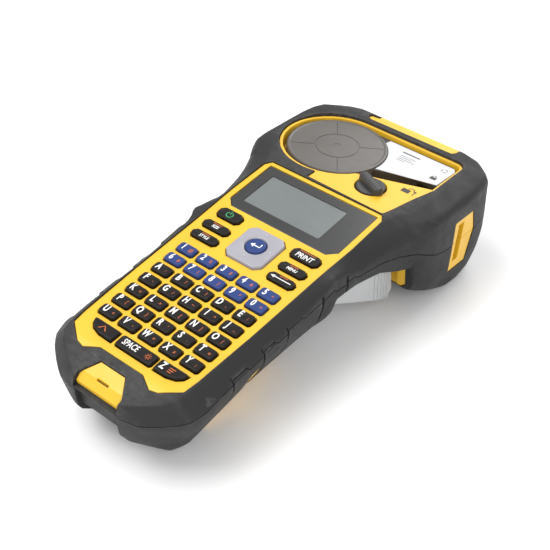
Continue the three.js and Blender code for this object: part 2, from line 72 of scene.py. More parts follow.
# ---------------------------------------------------------------- materials
class Shader:
    """A Principled material built from procedural nodes. Texture scales are per metre of the object."""

    def __init__(self, name, roughness, **values):
        self.material = bpy.data.materials.new(name)
        self.material.use_nodes = True
        self.tree = self.material.node_tree
        self.bsdf = self.tree.nodes["Principled BSDF"]
        self.bsdf.inputs["Roughness"].default_value = roughness
        for key, value in values.items():
            self.bsdf.inputs[key.replace("_", " ")].default_value = value
        self.position = self.node("ShaderNodeTexCoord").outputs["Object"]
        self.normal = None

    def node(self, kind, **settings):
        made = self.tree.nodes.new(kind)
        for key, value in settings.items():
            setattr(made, key, value)
        return made

    def link(self, source, target):
        self.tree.links.new(source, target)

    def noise(self, scale, detail=3, roughness=0.55, stretch=None):
        texture = self.node("ShaderNodeTexNoise")
        texture.inputs["Scale"].default_value = scale
        texture.inputs["Detail"].default_value = detail
        texture.inputs["Roughness"].default_value = roughness
        place = self.position
        if stretch:
            mapping = self.node("ShaderNodeMapping")
            mapping.inputs["Scale"].default_value = stretch
            self.link(place, mapping.inputs["Vector"])
            place = mapping.outputs["Vector"]
        self.link(place, texture.inputs["Vector"])
        return texture.outputs["Fac"]

    def ramp(self, source, stops):
        """Colours a value through stops of (place, colour)."""
        ramp = self.node("ShaderNodeValToRGB")
        elements = ramp.color_ramp.elements
        while len(elements) < len(stops):
            elements.new(0.5)
        for element, (place, colour) in zip(elements, stops, strict=True):
            element.position = place
            element.color = (*colour, 1)
        self.link(source, ramp.inputs["Fac"])
        return ramp.outputs["Color"]

    def mix(self, factor, first, second):
        """From one colour socket towards a fixed colour, as a mask says."""
        mixer = self.node("ShaderNodeMix", data_type="RGBA")
        self.link(factor, mixer.inputs[0])
        self.link(first, mixer.inputs[6])  # colours A and B
        mixer.inputs[7].default_value = (*second, 1)
        return mixer.outputs[2]

    def spread(self, source, low, high):
        """Maps the middle of a noise to a range of values."""
        mapped = self.node("ShaderNodeMapRange")
        mapped.inputs["From Min"].default_value = 0.3
        mapped.inputs["From Max"].default_value = 0.7
        mapped.inputs["To Min"].default_value = low
        mapped.inputs["To Max"].default_value = high
        self.link(source, mapped.inputs["Value"])
        return mapped.outputs["Result"]

    def colour(self, source):
        self.link(source, self.bsdf.inputs["Base Color"])

    def vary_roughness(self, source, low, high):
        self.link(self.spread(source, low, high), self.bsdf.inputs["Roughness"])

    def bump(self, source, height, strength=1):
        """Adds relief of the given height in metres."""
        bump = self.node("ShaderNodeBump")
        bump.inputs["Distance"].default_value = height
        bump.inputs["Strength"].default_value = strength
        self.link(source, bump.inputs["Height"])
        if self.normal:
            self.link(self.normal, bump.inputs["Normal"])
        self.normal = bump.outputs["Normal"]
        self.link(self.normal, self.bsdf.inputs["Normal"])

    def edges(self, low, high):
        """A mask that is 1 on sharp outward edges, broken up by noise; the colour it mixes in paints an edge
        highlight.
        """
        pointiness = self.node("ShaderNodeNewGeometry").outputs["Pointiness"]
        mask = self.node("ShaderNodeMapRange")
        mask.inputs["From Min"].default_value = low
        mask.inputs["From Max"].default_value = high
        self.link(pointiness, mask.inputs["Value"])
        broken = self.node("ShaderNodeMath", operation="MULTIPLY")
        self.link(mask.outputs["Result"], broken.inputs[0])
        self.link(self.spread(self.noise(420, 4), 0, 1), broken.inputs[1])
        return broken.outputs["Value"]


def moulded_plastic(name, colour, roughness=0.4, grain=0.00002, variation=0.06):
    """Injection-moulded plastic: a fine spark-eroded grain, faint flow clouds and uneven gloss."""
    made = Shader(name, roughness)
    darker = tuple(c * (1 - variation) for c in colour)
    lighter = tuple(min(1, c * (1 + 0.6 * variation)) for c in colour)
    made.colour(made.ramp(made.noise(38, 4), [(0.35, darker), (0.65, lighter)]))
    made.vary_roughness(made.noise(160, 3), roughness - 0.06, roughness + 0.07)
    made.bump(made.noise(3800, 2), grain)
    made.bump(made.noise(25, 2), grain * 6, 0.35)
    return made.material


def bumper_rubber():
    """Matt black rubber, painted greyer on its sharp edges as an edge highlight."""
    made = Shader("bumper_rubber", 0.62, Specular_IOR_Level=0.36)
    base = made.ramp(made.noise(30, 5), [(0.3, (0.0165, 0.0167, 0.0175)), (0.7, (0.022, 0.0222, 0.0225))])
    # painted highlight: a greyer colour mixed in on the sharp outward edges
    made.colour(made.mix(made.edges(0.505, 0.58), base, (0.075, 0.073, 0.070)))
    made.vary_roughness(made.noise(120, 4), 0.52, 0.7)
    made.bump(made.noise(2600, 3), 0.00005)
    made.bump(made.noise(60, 3), 0.00012, 0.4)
    return made.material


def silicone_key(name, colour):
    """Soft key rubber with a fine grain, painted slightly paler on its sharp edges as an edge highlight."""
    made = Shader(name, 0.5, Specular_IOR_Level=0.24)
    darker = tuple(c * 0.85 for c in colour)
    # painted highlight: a paler copy of the key colour for the sharp edges
    painted_edge_highlight = tuple(0.6 * c + 0.02 for c in colour)
    mask = made.edges(0.51, 0.6)
    made.colour(made.mix(mask, made.ramp(made.noise(300, 3), [(0.3, darker), (0.7, colour)]), painted_edge_highlight))
    made.vary_roughness(made.noise(700, 3), 0.36, 0.52)
    made.bump(made.noise(5200, 2), 0.00001)
    return made.material


def printed_ink(name, colour):
    """Print that covers slightly unevenly."""
    made = Shader(name, 0.5)
    thin = tuple(c * 0.86 for c in colour)
    made.colour(made.ramp(made.noise(1500, 3), [(0.25, thin), (0.6, colour)]))
    made.vary_roughness(made.noise(900, 2), 0.42, 0.58)
    return made.material


def surface(name, roughness, tint, stops, gloss, relief, **values):
    """A material of three noises: for colour stops, a range of roughness and relief."""
    made = Shader(name, roughness, **values)
    made.colour(made.ramp(made.noise(*tint), stops))
    noise, low, high = gloss
    made.vary_roughness(made.noise(*noise), low, high)
    noise, height = relief
    made.bump(made.noise(*noise), height)
    return made.material


def studio_floor():
    made = Shader("studio_floor", 0.75)
    made.colour(made.ramp(made.noise(2.5, 3), [(0.3, (0.92, 0.92, 0.92)), (0.7, (0.95, 0.95, 0.95))]))
    made.bump(made.noise(300, 2), 0.00002)
    return made.material


MATERIAL = {
    "yellow": moulded_plastic("yellow_abs", (0.83, 0.485, 0.026), 0.38, variation=0.04),
    "rubber": bumper_rubber(),
    "dark_key": silicone_key("dark_key", (0.008, 0.006, 0.0058)),
    "blue_key": silicone_key("blue_key", (0.026, 0.055, 0.205)),
    "nav": moulded_plastic("nav_plastic", (0.34, 0.335, 0.375), 0.36, 0.000012),
    "window": surface(  # the dark border round the display
        "window_plastic", 0.25, (45, 1), [(0.35, (0.026, 0.027, 0.027)), (0.65, (0.028, 0.029, 0.029))],
        ((30, 1), 0.24, 0.3), ((4200, 1), 0.000002), Coat_Weight=0.3, Coat_Roughness=0.1),
    "display": surface(  # grey green, faintly banded by its rows of dots
        "display_glass", 0.24, (16, 3, 0.55, (0.6, 1.6, 1)),
        [(0.3, (0.135, 0.152, 0.152)), (0.7, (0.175, 0.192, 0.190))],
        ((120, 2), 0.16, 0.26), ((4200, 1), 0.0000015), Coat_Weight=0.6, Coat_Roughness=0.06),
    "smoked": surface(  # the cartridge's lid, brown with a soft gloss
        "smoked_plastic", 0.4, (24, 5, 0.6),
        [(0.3, (0.074, 0.066, 0.058)), (0.5, (0.092, 0.083, 0.074)), (0.72, (0.110, 0.100, 0.090))],
        ((90, 4), 0.3, 0.46), ((3000, 2), 0.000004), Coat_Weight=0.25, Coat_Roughness=0.22),
    "sticker": moulded_plastic("sticker_paper", (0.64, 0.65, 0.67), 0.5, 0.00002, 0.03),
    "dark_plastic": moulded_plastic("dark_plastic", (0.036, 0.035, 0.036), 0.42),
    "trigger": moulded_plastic("trigger_plastic", (0.47, 0.48, 0.485), 0.42),
    "steel": surface(  # with the long scratches of a drawn or ground surface
        "brushed_steel", 0.32, (500, 3, 0.55, (1, 1, 0.05)), [(0.3, (0.48, 0.49, 0.5)), (0.7, (0.66, 0.67, 0.68))],
        ((700, 3, 0.55, (1, 1, 0.05)), 0.22, 0.42), ((2600, 2, 0.55, (1, 1, 0.04)), 0.00001), Metallic=1),
    "board": surface(  # green solder mask over long copper tracks
        "circuit_board", 0.4, (240, 2, 0.55, (1, 0.2, 1)),
        [(0.42, (0.012, 0.09, 0.035)), (0.55, (0.02, 0.15, 0.06))],
        ((400, 2), 0.3, 0.5), ((900, 2), 0.00005)),
    "battery": moulded_plastic("battery_plastic", (0.03, 0.032, 0.036), 0.55),
    "cell": moulded_plastic("cell_wrap", (0.05, 0.16, 0.10), 0.3),
    "roller": silicone_key("roller_rubber", (0.03, 0.03, 0.031)),
    "white_ink": printed_ink("white_ink", (0.88, 0.87, 0.86)),
    "orange_ink": printed_ink("orange_ink", (0.56, 0.13, 0.025)),
    "green_ink": printed_ink("green_ink", (0.03, 0.35, 0.12)),
    "black_ink": printed_ink("black_ink", (0.04, 0.035, 0.03)),
    "grey_ink": printed_ink("grey_ink", (0.42, 0.43, 0.45)),
}


# ---------------------------------------------------------------- outlines and solids
EDGE_STEPS = 4  # faces round a cap's edge
BEVEL_ANGLE = math.radians(32)  # edges sharper than this are rounded
FLAT_ANGLE = math.radians(0.6)  # faces that meet at less than this are one flat face
OWN_GAP, CARRIED_GAP = 0.002, 0.1  # vertices closer than this are welded before a bevel
PRINT_HEIGHT = 0.05  # how far printed lines stand up


def pairs(*points):
    return [Vector(point) for point in points]


def mirrored(half):
    """A whole outline from its right half."""
    return half + [Vector((-p.x, p.y)) for p in reversed(half)]


def box_outline(x0, y0, x1, y1):
    return pairs((x0, y0), (x1, y0), (x1, y1), (x0, y1))


def centred(x, y, width, height):
    return box_outline(x - width / 2, y - height / 2, x + width / 2, y + height / 2)


def cut_corners(x, y, width, height, cut):
    """A rectangle about a point, with its corners cut off at 45 degrees."""
    a, b = width / 2, height / 2
    return [Vector((x + u, y + v)) for u, v in (
        (cut - a, -b), (a - cut, -b), (a, cut - b), (a, b - cut), (a - cut, b), (cut - a, b), (-a, b - cut),
        (-a, cut - b))]


def arc(x, y, radius, start, end, steps):
    """Points along an arc, from one angle in degrees to another."""
    return [Vector((x + radius * math.cos(a), y + radius * math.sin(a)))
            for a in (math.radians(start + (end - start) * i / steps) for i in range(steps + 1))]


def circle(x, y, radius, sides):
    return arc(x, y, radius, 0, 360, sides)[:-1]


def signed_area(outline):
    return sum(p.x * q.y - q.x * p.y for p, q in zip(outline, outline[1:] + outline[:1], strict=True)) / 2


def curved_corner(corner, into, out, reach, steps):
    """Points that round a corner from one of its sides to the other."""
    start, end = corner + into.normalized() * reach, corner + out.normalized() * reach
    return [start * (1 - t) ** 2 + corner * 2 * t * (1 - t) + end * t * t
            for t in (step / steps for step in range(steps + 1))]


def rounded(outline, radius, steps=5):
    """The outline with each corner replaced by an arc."""
    made = []
    count = len(outline)
    for i, corner in enumerate(outline):
        into = outline[i - 1] - corner
        out = outline[(i + 1) % count] - corner
        half_angle = max(0.05, into.angle(out) / 2)
        reach = min(radius / math.tan(half_angle), into.length * 0.49, out.length * 0.49)
        if reach < 1e-4 or half_angle > math.radians(87):
            made.append(corner.copy())
        else:
            made += curved_corner(corner, into, out, reach, steps)
    return made


def grown(outline, distance):
    """The outline with its points moved outwards by about the given distance."""
    turn = 1 if signed_area(outline) > 0 else -1
    made = []
    for i, corner in enumerate(outline):
        into = (corner - outline[i - 1]).normalized()
        out = (outline[(i + 1) % len(outline)] - corner).normalized()
        normal = Vector((into.y + out.y, -into.x - out.x)).normalized()
        spread = max(0.6, abs(normal.dot(Vector((into.y, -into.x)))))
        made.append(corner + normal * (turn * distance / spread))
    return made


def bridge(bm, rings):
    """Faces from each ring of vertices to the next."""
    made = []
    for lower, upper in pairwise(rings):
        for j in range(len(lower)):
            k = (j + 1) % len(lower)
            made.append(bm.faces.new((lower[j], lower[k], upper[k], upper[j])))
    return made


def stack(bm, rings, material=0):
    """A closed solid through rings of points, each (outline, height), from its lowest to its highest ring."""
    loops = [[bm.verts.new((p.x, p.y, z)) for p in outline] for outline, z in rings]
    ends = [bm.faces.new(list(reversed(loops[0]))), bm.faces.new(loops[-1])]
    faces = ends + bridge(bm, loops)
    for face in faces:
        face.material_index = material
        face.smooth = len(face.verts) == 4
    return faces


def prism(bm, outline, z0, z1, material=0):
    """An outline raised from one height to another, with flat faces."""
    if signed_area(outline) < 0:
        outline = list(reversed(outline))
    for face in stack(bm, [(outline, z0), (outline, z1)], material):
        face.smooth = False


def cap(bm, outline, z0, z1, edge, dish=0):
    """A solid with a rounded upper edge and a slightly hollow or domed top."""
    if signed_area(outline) < 0:
        outline = list(reversed(outline))
    rings = [(outline, z0)]
    for step in range(EDGE_STEPS + 1):
        angle = math.pi / 2 * step / EDGE_STEPS
        rings.append((grown(outline, -edge * (1 - math.cos(angle))), z1 - edge * (1 - math.sin(angle))))
    rings.append((grown(outline, -edge * 1.25), z1 - dish))
    stack(bm, rings)


def stroke(bm, points, width, z, material, closed=False, thickness=PRINT_HEIGHT):
    """A flat printed line through points."""
    half = width / 2
    count = len(points)
    left, right = [], []
    for i, p in enumerate(points):
        before = points[i - 1] if (i or closed) else p
        after = points[(i + 1) % count] if (i + 1 < count or closed) else p
        along = (after - before).normalized()
        side = Vector((-along.y, along.x)) * half
        left.append(p + side)
        right.append(p - side)
    spans = range(count if closed else count - 1)
    rails = [[bm.verts.new((p.x, p.y, z + h)) for p in rail] for rail, h in (
        (left, 0), (right, 0), (right, thickness), (left, thickness))]
    for i in spans:
        k = (i + 1) % count
        for r in range(4):
            a, b = rails[r], rails[(r + 1) % 4]
            face = bm.faces.new((a[i], a[k], b[k], b[i]))
            face.material_index = material
    if not closed:
        for i, order in ((0, (0, 1, 2, 3)), (count - 1, (3, 2, 1, 0))):
            face = bm.faces.new([rails[r][i] for r in order])
            face.material_index = material


def lettering(bm, text, x, y, height, material, weight, stretch):
    """Raised print on the keys: text centred on a point, with capitals of the given height."""
    curve = bpy.data.curves.new("lettering", "FONT")
    curve.body = text
    curve.size = height / CAPITAL_SHARE
    curve.align_x = "CENTER"
    curve.align_y = "CENTER"
    curve.offset = weight * height
    curve.extrude = INK_HALF
    curve.shear = INK_SLANT
    curve.resolution_u = 3
    holder = bpy.data.objects.new("lettering", curve)
    mesh = bpy.data.meshes.new_from_object(holder)
    mesh.transform(Matrix.Translation((x, y, INK_Z + INK_HALF)) @ Matrix.Diagonal((stretch, 1, 1, 1)))
    first = len(bm.faces)
    bm.from_mesh(mesh)
    bm.faces.ensure_lookup_table()
    for face in bm.faces[first:]:
        face.material_index = material
    bpy.data.objects.remove(holder)
    bpy.data.curves.remove(curve)
    bpy.data.meshes.remove(mesh)


def add_object(name, data):
    made = bpy.data.objects.new(name, data)
    bpy.context.scene.collection.objects.link(made)
    return made


def make_object(name, bm, matrix, materials):
    """A piece from a bmesh, moved by a matrix, with materials by their slots."""
    bmesh.ops.recalc_face_normals(bm, faces=bm.faces)
    mesh = bpy.data.meshes.new(name)
    bm.to_mesh(mesh)
    bm.free()
    mesh.transform(matrix)
    for key in materials:
        mesh.materials.append(MATERIAL[key])
    return add_object(name, mesh)


def shade_smooth(made, angle):
    """Smooth faces, parted where they meet at more than an angle in degrees."""
    for polygon in made.data.polygons:
        polygon.use_smooth = True
    made.data.set_sharp_from_angle(angle=math.radians(angle))


def finish_piece(made, body, replaces=(), smooth=0):
    """What a piece rides, the nodes it stands for, and its shading angle if it has one."""
    if smooth:
        shade_smooth(made, smooth)
    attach(made, body)
    if replaces:
        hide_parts(*replaces)


def boolean(made, cutter, operation="DIFFERENCE"):
    """Cuts a scratch object out of a piece, or keeps what they share, and removes the scratch object."""
    modifier = made.modifiers.new("cut", "BOOLEAN")
    modifier.object = cutter
    modifier.operation = operation
    modifier.solver = "MANIFOLD"
    graph = bpy.context.evaluated_depsgraph_get()
    graph.update()
    mesh = bpy.data.meshes.new_from_object(made.evaluated_get(graph))
    old = made.data
    made.modifiers.clear()
    made.data = mesh
    bpy.data.meshes.remove(old)
    bpy.data.objects.remove(cutter)


def bevel(made, width, carried=False):
    """Rounds the sharp edges of a piece without changing its base mesh."""
    weld = made.modifiers.new("weld", "WELD")
    weld.merge_threshold = (CARRIED_GAP if carried else OWN_GAP) * MM
    flat = made.modifiers.new("flat", "DECIMATE")
    flat.decimate_type = "DISSOLVE"
    flat.angle_limit = FLAT_ANGLE
    if carried:
        made.modifiers.new("split", "TRIANGULATE")
    soft = made.modifiers.new("bevel", "BEVEL")
    soft.width = width * MM
    soft.segments = 3 if carried else 2
    soft.limit_method = "ANGLE"
    soft.angle_limit = BEVEL_ANGLE
    soft.use_clamp_overlap = False
    soft.harden_normals = False


def solid(name, build, *arguments):
    """A scratch object in millimetres, made by a function that fills a bmesh."""
    bm = bmesh.new()
    build(bm, *arguments)
    return make_object(name, bm, Matrix.Identity(4), ["rubber"])


def deck_solid(name, outline, h0, h1):
    """A scratch prism that stands square to the sloping deck."""
    made = solid(name, prism, outline, h0, h1)
    made.data.transform(ON_DECK)
    return made


def across(bm, profile, x0, x1):
    """A prism along x of a profile given as (y, z)."""
    if signed_area(profile) < 0:
        profile = list(reversed(profile))
    rings = [[bm.verts.new((x, p.x, p.y)) for p in profile] for x in (x0, x1)]
    bm.faces.new(list(reversed(rings[0])))
    bm.faces.new(rings[1])
    bridge(bm, rings)


# ---------------------------------------------------------------- the rubber body
# Stations from nose to head: y, end (which way the surface faces along y), half width of the crest, half width,
# drop of the crest, parting height, underside height, underside half width, upright (0 slopes, 1 stands)
STATIONS = [
    (-85.3, 1, 8, 14, 6.4, -10.5, -22, 12, 0),
    (-83.4, 1, 14, 23.5, 4.8, -10, -26, 17, 0),
    (-79, 1, 22, 30.4, 3.2, -9.5, -30.5, 20.5, 0),
    (-74, 0.8, 29, 36.6, 2, -9, -36.5, 22.5, 0),
    (-69.5, 0.5, 33, 40.3, 1, -8.6, -41.8, 24, 0),
    (-62, 0, 34, 42.3, 0.2, -8.2, -45.6, 24.5, 0),
    (-50, 0, 34.5, 42.2, 0, -7.2, -46.6, 23.5, 0),
    (-20, 0, 35, 42.2, 0, -7, -45.6, 22.5, 0),
    (8, 0, 35.6, 42.2, 0, -7, -42.4, 22.5, 0.28),
    (19, -0.6, 35.8, 42.4, 0, -7.4, -37, 25, 0.5),
    (25.5, -1, 36, 42.6, 0, -7.8, -27, 32, 1),
    (29.5, -1, 36.2, 42.8, 0, -8.4, -17, 39.5, 0.8),
    (45, 0, 36.6, 44.2, 0, -10.4, -18.4, 41.5, 0.2),
    (60, 0, 36.8, 46.8, 0, -12, -20.8, 44.4, 0.3),
    (70, 0, 37, 49.4, 0, -14.4, -25.6, 47.4, 0.5),
    (78.6, 0.3, 39, 52.6, 0.1, -17.4, -28.5, 50, 0.7),
    (79.8, 0.9, 40, 53.2, 0.1, -18, -45, 49, 0.8),
    (84.6, 0.6, 43, 55.6, 0, -20.4, -49, 49.8, 0.9),
    (90, 0.4, 45, 57.2, -0.4, -23.6, -52.6, 50.6, 1),
    (98, 0.2, 46, 57.8, -0.8, -26.6, -57.4, 51.4, 1),
    (108, 0, 46, 57.8, -0.8, -29, -63.2, 52, 1),
    (118, 0, 46, 57.8, -0.8, -30.6, -65.6, 52, 1),
    (128, 0, 46, 57.6, -0.8, -31.6, -65.2, 51.5, 1),
    (136, -0.4, 45, 56.8, -0.8, -32.6, -61, 50, 1),
    (142.4, -0.7, 42, 55, -0.7, -33.4, -54.5, 47.4, 1),
    (148.6, -0.9, 37, 51.2, -0.4, -34.2, -45.6, 43.4, 0.9),
    (153.4, -1, 33, 45.6, 0.4, -34.8, -40, 38.6, 0.9),
    (155.9, -1, 30, 39.5, 2.2, -35.2, -38, 34.5, 0.9),
]
CREST = 0.8  # the rubber stands this far above the yellow faces
RUBBER, CREST_RUBBER = 3, 3.4  # its thickness on the flanks and under the crest
REST_DEPTH = 51.0  # the floor lies this far below the keypad's first row
FACETING = 0.6  # 0: the body curves smoothly through its stations, 1: it runs straight between them
# corners of a flank, as shares of its way out or in and down, each (sloping, standing)
FLANK_ABOVE = [((0.5, 0.45), (0.74, 0.035)), ((0.93, 0.88), (0.97, 0.15))]
FLANK_BELOW = [
    ((0.03, 0.13), (0, 0.15)), ((0.33, 0.45), (0.02, 0.55)), ((0.66, 0.77), (0.3, 0.88)), ((1, 1), (1, 1))]
CORNER_RADII = [0.8, 3, 2.4, 0.7, 4, 4, 4, 4]  # of a section's right half, from the crest to the underside


def slopes(column):
    """Slopes at the stations that keep the curve through a column from overshooting."""
    ys = [station[0] for station in STATIONS]
    steps = [(q - p) / (b - a) for (p, q), (a, b) in zip(pairwise(column), pairwise(ys), strict=True)]
    made = [steps[0]]
    for before, after in pairwise(steps):
        made.append(0 if before * after <= 0 else 2 * before * after / (before + after))
    return made + [steps[-1]]


def dense_stations(step):
    """The stations with others between them, about a step apart."""
    columns = list(zip(*STATIONS, strict=True))
    tangents = [slopes(column) for column in columns]
    made = []
    for i in range(len(STATIONS) - 1):
        length = columns[0][i + 1] - columns[0][i]
        count = max(1, round(length / step))
        for j in range(count):
            t = j / count
            values = []
            for column, tangent in zip(columns, tangents, strict=True):
                curved = ((2 * t ** 3 - 3 * t * t + 1) * column[i] + (t ** 3 - 2 * t * t + t) * length * tangent[i]
                          + (3 * t * t - 2 * t ** 3) * column[i + 1] + (t ** 3 - t * t) * length * tangent[i + 1])
                straight = column[i] + (column[i + 1] - column[i]) * t
                values.append(curved + (straight - curved) * FACETING)
            made.append(values)
    return made + [list(STATIONS[-1])]


def section(station, inset, sink, soft):
    """One cross-section of the body, moved inwards and its crest down; soft rounds its corners."""
    y, end, plate, half, drop, part, under, under_half, upright = station
    part += 0.35 * inset
    deck = -max(0, y - CREASE_Y) * math.tan(DECK_SLOPE)
    top = max(deck + CREST - drop - sink, part + 0.8)
    half -= inset
    under += inset
    under_half = max(2, under_half - 0.5 * inset)
    plate = min(plate, half - 5)

    def mixed(sloping, standing):
        return (sloping[k] + (standing[k] - sloping[k]) * upright for k in (0, 1))

    right = [Vector((plate, top))]
    for out, down in (mixed(*shares) for shares in FLANK_ABOVE):
        right.append(Vector((plate + (half - plate) * out, top + (part - top) * down)))
    right.append(Vector((half, part)))
    for inward, down in (mixed(*shares) for shares in FLANK_BELOW):
        right.append(Vector((half + (under_half - half) * inward, part + (under - part) * down)))
    outline = right + [Vector((-p.x, p.y)) for p in reversed(right)]
    ring = [] if soft else outline
    for i, radius in enumerate(CORNER_RADII + CORNER_RADII[::-1] if soft else ()):
        corner = outline[i]
        into, out = outline[i - 1] - corner, outline[(i + 1) % len(outline)] - corner
        ring += curved_corner(corner, into, out, min(radius, 0.45 * into.length, 0.45 * out.length), 4)
    return [Vector((p.x, y + inset * end, p.y)) for p in ring]


def fill_body(bm, inset, sink, step, soft):
    rings = [[bm.verts.new(p) for p in section(station, inset, sink, soft)] for station in dense_stations(step)]
    bridge(bm, rings)
    count = len(rings[0])
    for ring in (rings[0], rings[-1]):
        middle = bm.verts.new(sum((v.co for v in ring), Vector()) / count)
        for j in range(count):
            bm.faces.new((middle, ring[(j + 1) % count], ring[j]))


def body_solid(name, inset=0, sink=0, step=2, soft=True):
    return solid(name, fill_body, inset, sink, step, soft)


PLATE_OUTLINE = mirrored(pairs(
    (12.5, -67.6), (19.6, -71.6), (24, -70.6), (32.8, -64), (33.8, -56), (35, -24), (35.8, 20), (36.8, 48),
    (36.6, 72), (34, CREASE_Y + 0.3)))
# the cartridge bay: middle of its round part, right edge, lower end of that edge, rim
BAY_X, BAY_RIGHT, BAY_FOOT, BAY_RIM = -21, 39.6, 36.6, 1.9
PAN_S, PAN_RADIUS = 37.4, 28.4  # the round part of the bay: its place along the deck, its radius
WELL_S = 40.2  # the same for the well under it
DECK_PLATE = pairs((-13.2, 1.6), (33.6, 0.6), (41.6, 34.6), (41.6, 40), (2, 40), (-13.2, 12))
FAR_BAR = pairs(
    (-22.5, 71.2), (29, 71.6), (30.5, 73.5), (30.5, 92), (-20.5, 92), (-20.5, 77.6), (-25, 77), (-26, 74.5))
EXIT_BEZEL = pairs((104.2, -46.6), (121.2, -49.8), (127.4, -31), (124.8, -18), (107.2, -15))
NOSE_OPENING = mirrored(pairs((13, -95), (13, -81), (7.4, -72.2)))
NOSE_RECESS = pairs(
    (-95, -9.4), (-82.9, -9.4), (-82.9, -21.4), (-81.6, -24.2), (-77.3, -29.1), (-72.4, -35), (-67.5, -40.6),
    (-62, -46), (-62, -52), (-95, -52))
POCKET = pairs((26.8, -15.9), (50, -15.6), (78.4, -19), (78.4, -27), (81.2, -34), (81.2, -70), (26.8, -70))
JOGS = ((-44, -34), (-23.6, -15), (-7, 4), (18, 27), (35.4, 42))  # where the parting line steps up
JOG_RISE = 1.4


def bay_outline(s, radius, throat, offset):
    start = math.degrees(math.atan2(throat[1] - s, throat[0] - BAY_X))
    corner = 4
    return (arc(BAY_X, s, radius + offset, start, -270, 56)
            + arc(BAY_RIGHT - corner, s + radius - corner, corner + offset, 90, 0, 6)
            + [Vector((BAY_RIGHT + offset, BAY_FOOT - 0.8 * offset))])


PAN = (PAN_S, PAN_RADIUS, (2.9, 21.8))


def trigger_plan(grow):
    return mirrored(pairs((36 + grow, 20), (37 + grow, 30), (41.5 + grow, 66), (41.5 + grow, 86)))


def parting_height(y):
    for before, after in pairwise(STATIONS):
        if y <= after[0]:
            break
    return before[5] + (after[5] - before[5]) * (y - before[0]) / (after[0] - before[0])


def parting_profile(shift):
    """The line between the upper and the lower rubber, jogging up over each grip pad."""
    rises = {y: JOG_RISE * any(y0 + 1 < y < y1 - 1 for y0, y1 in JOGS) for y, *_ in STATIONS}
    for y0, y1 in JOGS:
        rises |= {y0 - 0.9: 0, y0 + 0.9: JOG_RISE, y1 - 0.9: JOG_RISE, y1 + 0.9: 0}
    line = [Vector((y, parting_height(y) + rises[y] + shift)) for y in sorted(rises)]
    return [Vector((-130, line[0].y)), *line, Vector((200, line[-1].y))]


def build_bumpers():
    """Two rubber mouldings that wrap the case and meet along the parting line."""
    rubber = body_solid("rubber", step=1.5)
    below = solid("below", prism, box_outline(-150, -250, 150, 250), -60, 0)
    below.data.transform(Matrix.Rotation(-TILT, 4, "X") @ Matrix.Translation((0, 0, -REST_DEPTH)))
    # grooves that part the grip pads, and the sunken band between them
    shallow = body_solid("shallow", 0.95, 0.4, 3)
    bands = bmesh.new()
    for y, half in ((-44, 0.55), (-23.6, 0.6), (-7, 0.6), (18, 0.8), (35.4, 0.8)):
        across(bands, box_outline(y - half, -60, y + half, -4.5), 25, 70)
    for y0, y1 in ((-60, -41), (-31, -19), (-13, 0), (12, 26), (36, 44)):
        across(bands, pairs((y0, -60), (y1, -60), (y1, -2.4), (y1 - 1.6, -1), (y0 + 1.6, -1), (y0, -2.4)), -70, -25)
    bands = make_object("bands", bands, Matrix.Identity(4), ["rubber"])
    boolean(bands, shallow)
    line = parting_profile(0.28) + list(reversed(parting_profile(-0.28)))
    slit = solid("slit", across, line, -80, 80)
    boolean(slit, body_solid("core", 1.1, 0.4, 3))
    cutters = [
        below, bands, slit,
        body_solid("inside", RUBBER, CREST_RUBBER, 4, soft=False),
        solid("plate", prism, rounded(PLATE_OUTLINE, 1.5), -5, 20),
        deck_solid("pan", bay_outline(*PAN, BAY_RIM), -5, 20),
        deck_solid("deck", rounded(DECK_PLATE, 1), -5, 20),
        deck_solid("bar", rounded(FAR_BAR, 0.8), -8, 20),
        solid("exit", across, rounded(EXIT_BEZEL, 1), 46, 80),
        solid("nose", prism, rounded(NOSE_OPENING, 1.2), -9, 10),
        solid("recess", across, NOSE_RECESS, -12.6, 12.6),
        solid("door", prism, box_outline(-26.5, -48, 26.5, 6), -80, -20),
        solid("ears", prism, box_outline(-50, -30.4, 50, -20.6), -80, -14.6),
    ]
    pocket = solid("pocket", across, POCKET, -60, 60)
    boolean(pocket, solid("plan", prism, trigger_plan(1), -80, 0), "INTERSECT")
    front = solid("front", prism, pairs(
        (-42.6, -47.4), (42.6, -47.4), (47.6, -42.4), (47.6, -22), (-47.6, -22), (-47.6, -42.4)), -88, -74)
    front.data.transform(Matrix.Rotation(math.pi / 2, 4, "X"))
    for cutter in cutters + [pocket, front]:
        boolean(rubber, cutter)
    lower = add_object("lower", rubber.data.copy())
    upper_space = parting_profile(0) + pairs((200, 60), (-130, 60))
    boolean(rubber, solid("upper_space", across, upper_space, -80, 80), "INTERSECT")
    boolean(lower, solid("lower_space", across, parting_profile(-0.2) + pairs((200, 60), (-130, 60)), -80, 80))
    for made, name in ((rubber, "upper_bumper_rubber"), (lower, "lower_bumper_rubber")):
        made.name = name
        made.data.transform(DEVICE)
        finish_piece(made, "housing", [name.replace("_rubber", "")], smooth=28)


# ---------------------------------------------------------------- keypad
ROWS = ("12345", "67890", "ABCDE", "FGHIJ", "KLMNO", "PQRST", "UVWXY")
SYMBOLS = ("@%$&+", "#()*=", ":?!,;", "-/~^_", "<>[]|", "{}'.o", "+-=x:")
KEY_FACE = 1.42  # top of a key cap
KEY_EDGE = 0.6  # rounding of its upper edge
KEY_CORNER = 1.1  # rounding of its corners
BLUE_ROWS = 2
INK_Z = 1.44  # underside of the print on it
INK_HALF = 0.02  # half the thickness of the letters
INK_SLANT = 0.06
CAPITAL_SHARE = 0.7  # height of a capital as a share of the font's size
LETTER_HEIGHT, LETTER_WEIGHT, LETTER_STRETCH = 3.7, 0.045, 0.68
SYMBOL_HEIGHT, SYMBOL_WEIGHT, SYMBOL_STRETCH = 1.9, 0.015, 0.9
WHITE, ORANGE = 1, 2  # slots of a key's print; the first is grey or green where a key says so


def key_cap(bm, outline):
    cap(bm, rounded(outline, KEY_CORNER, 4), KEY_BOTTOM, KEY_FACE, KEY_EDGE)


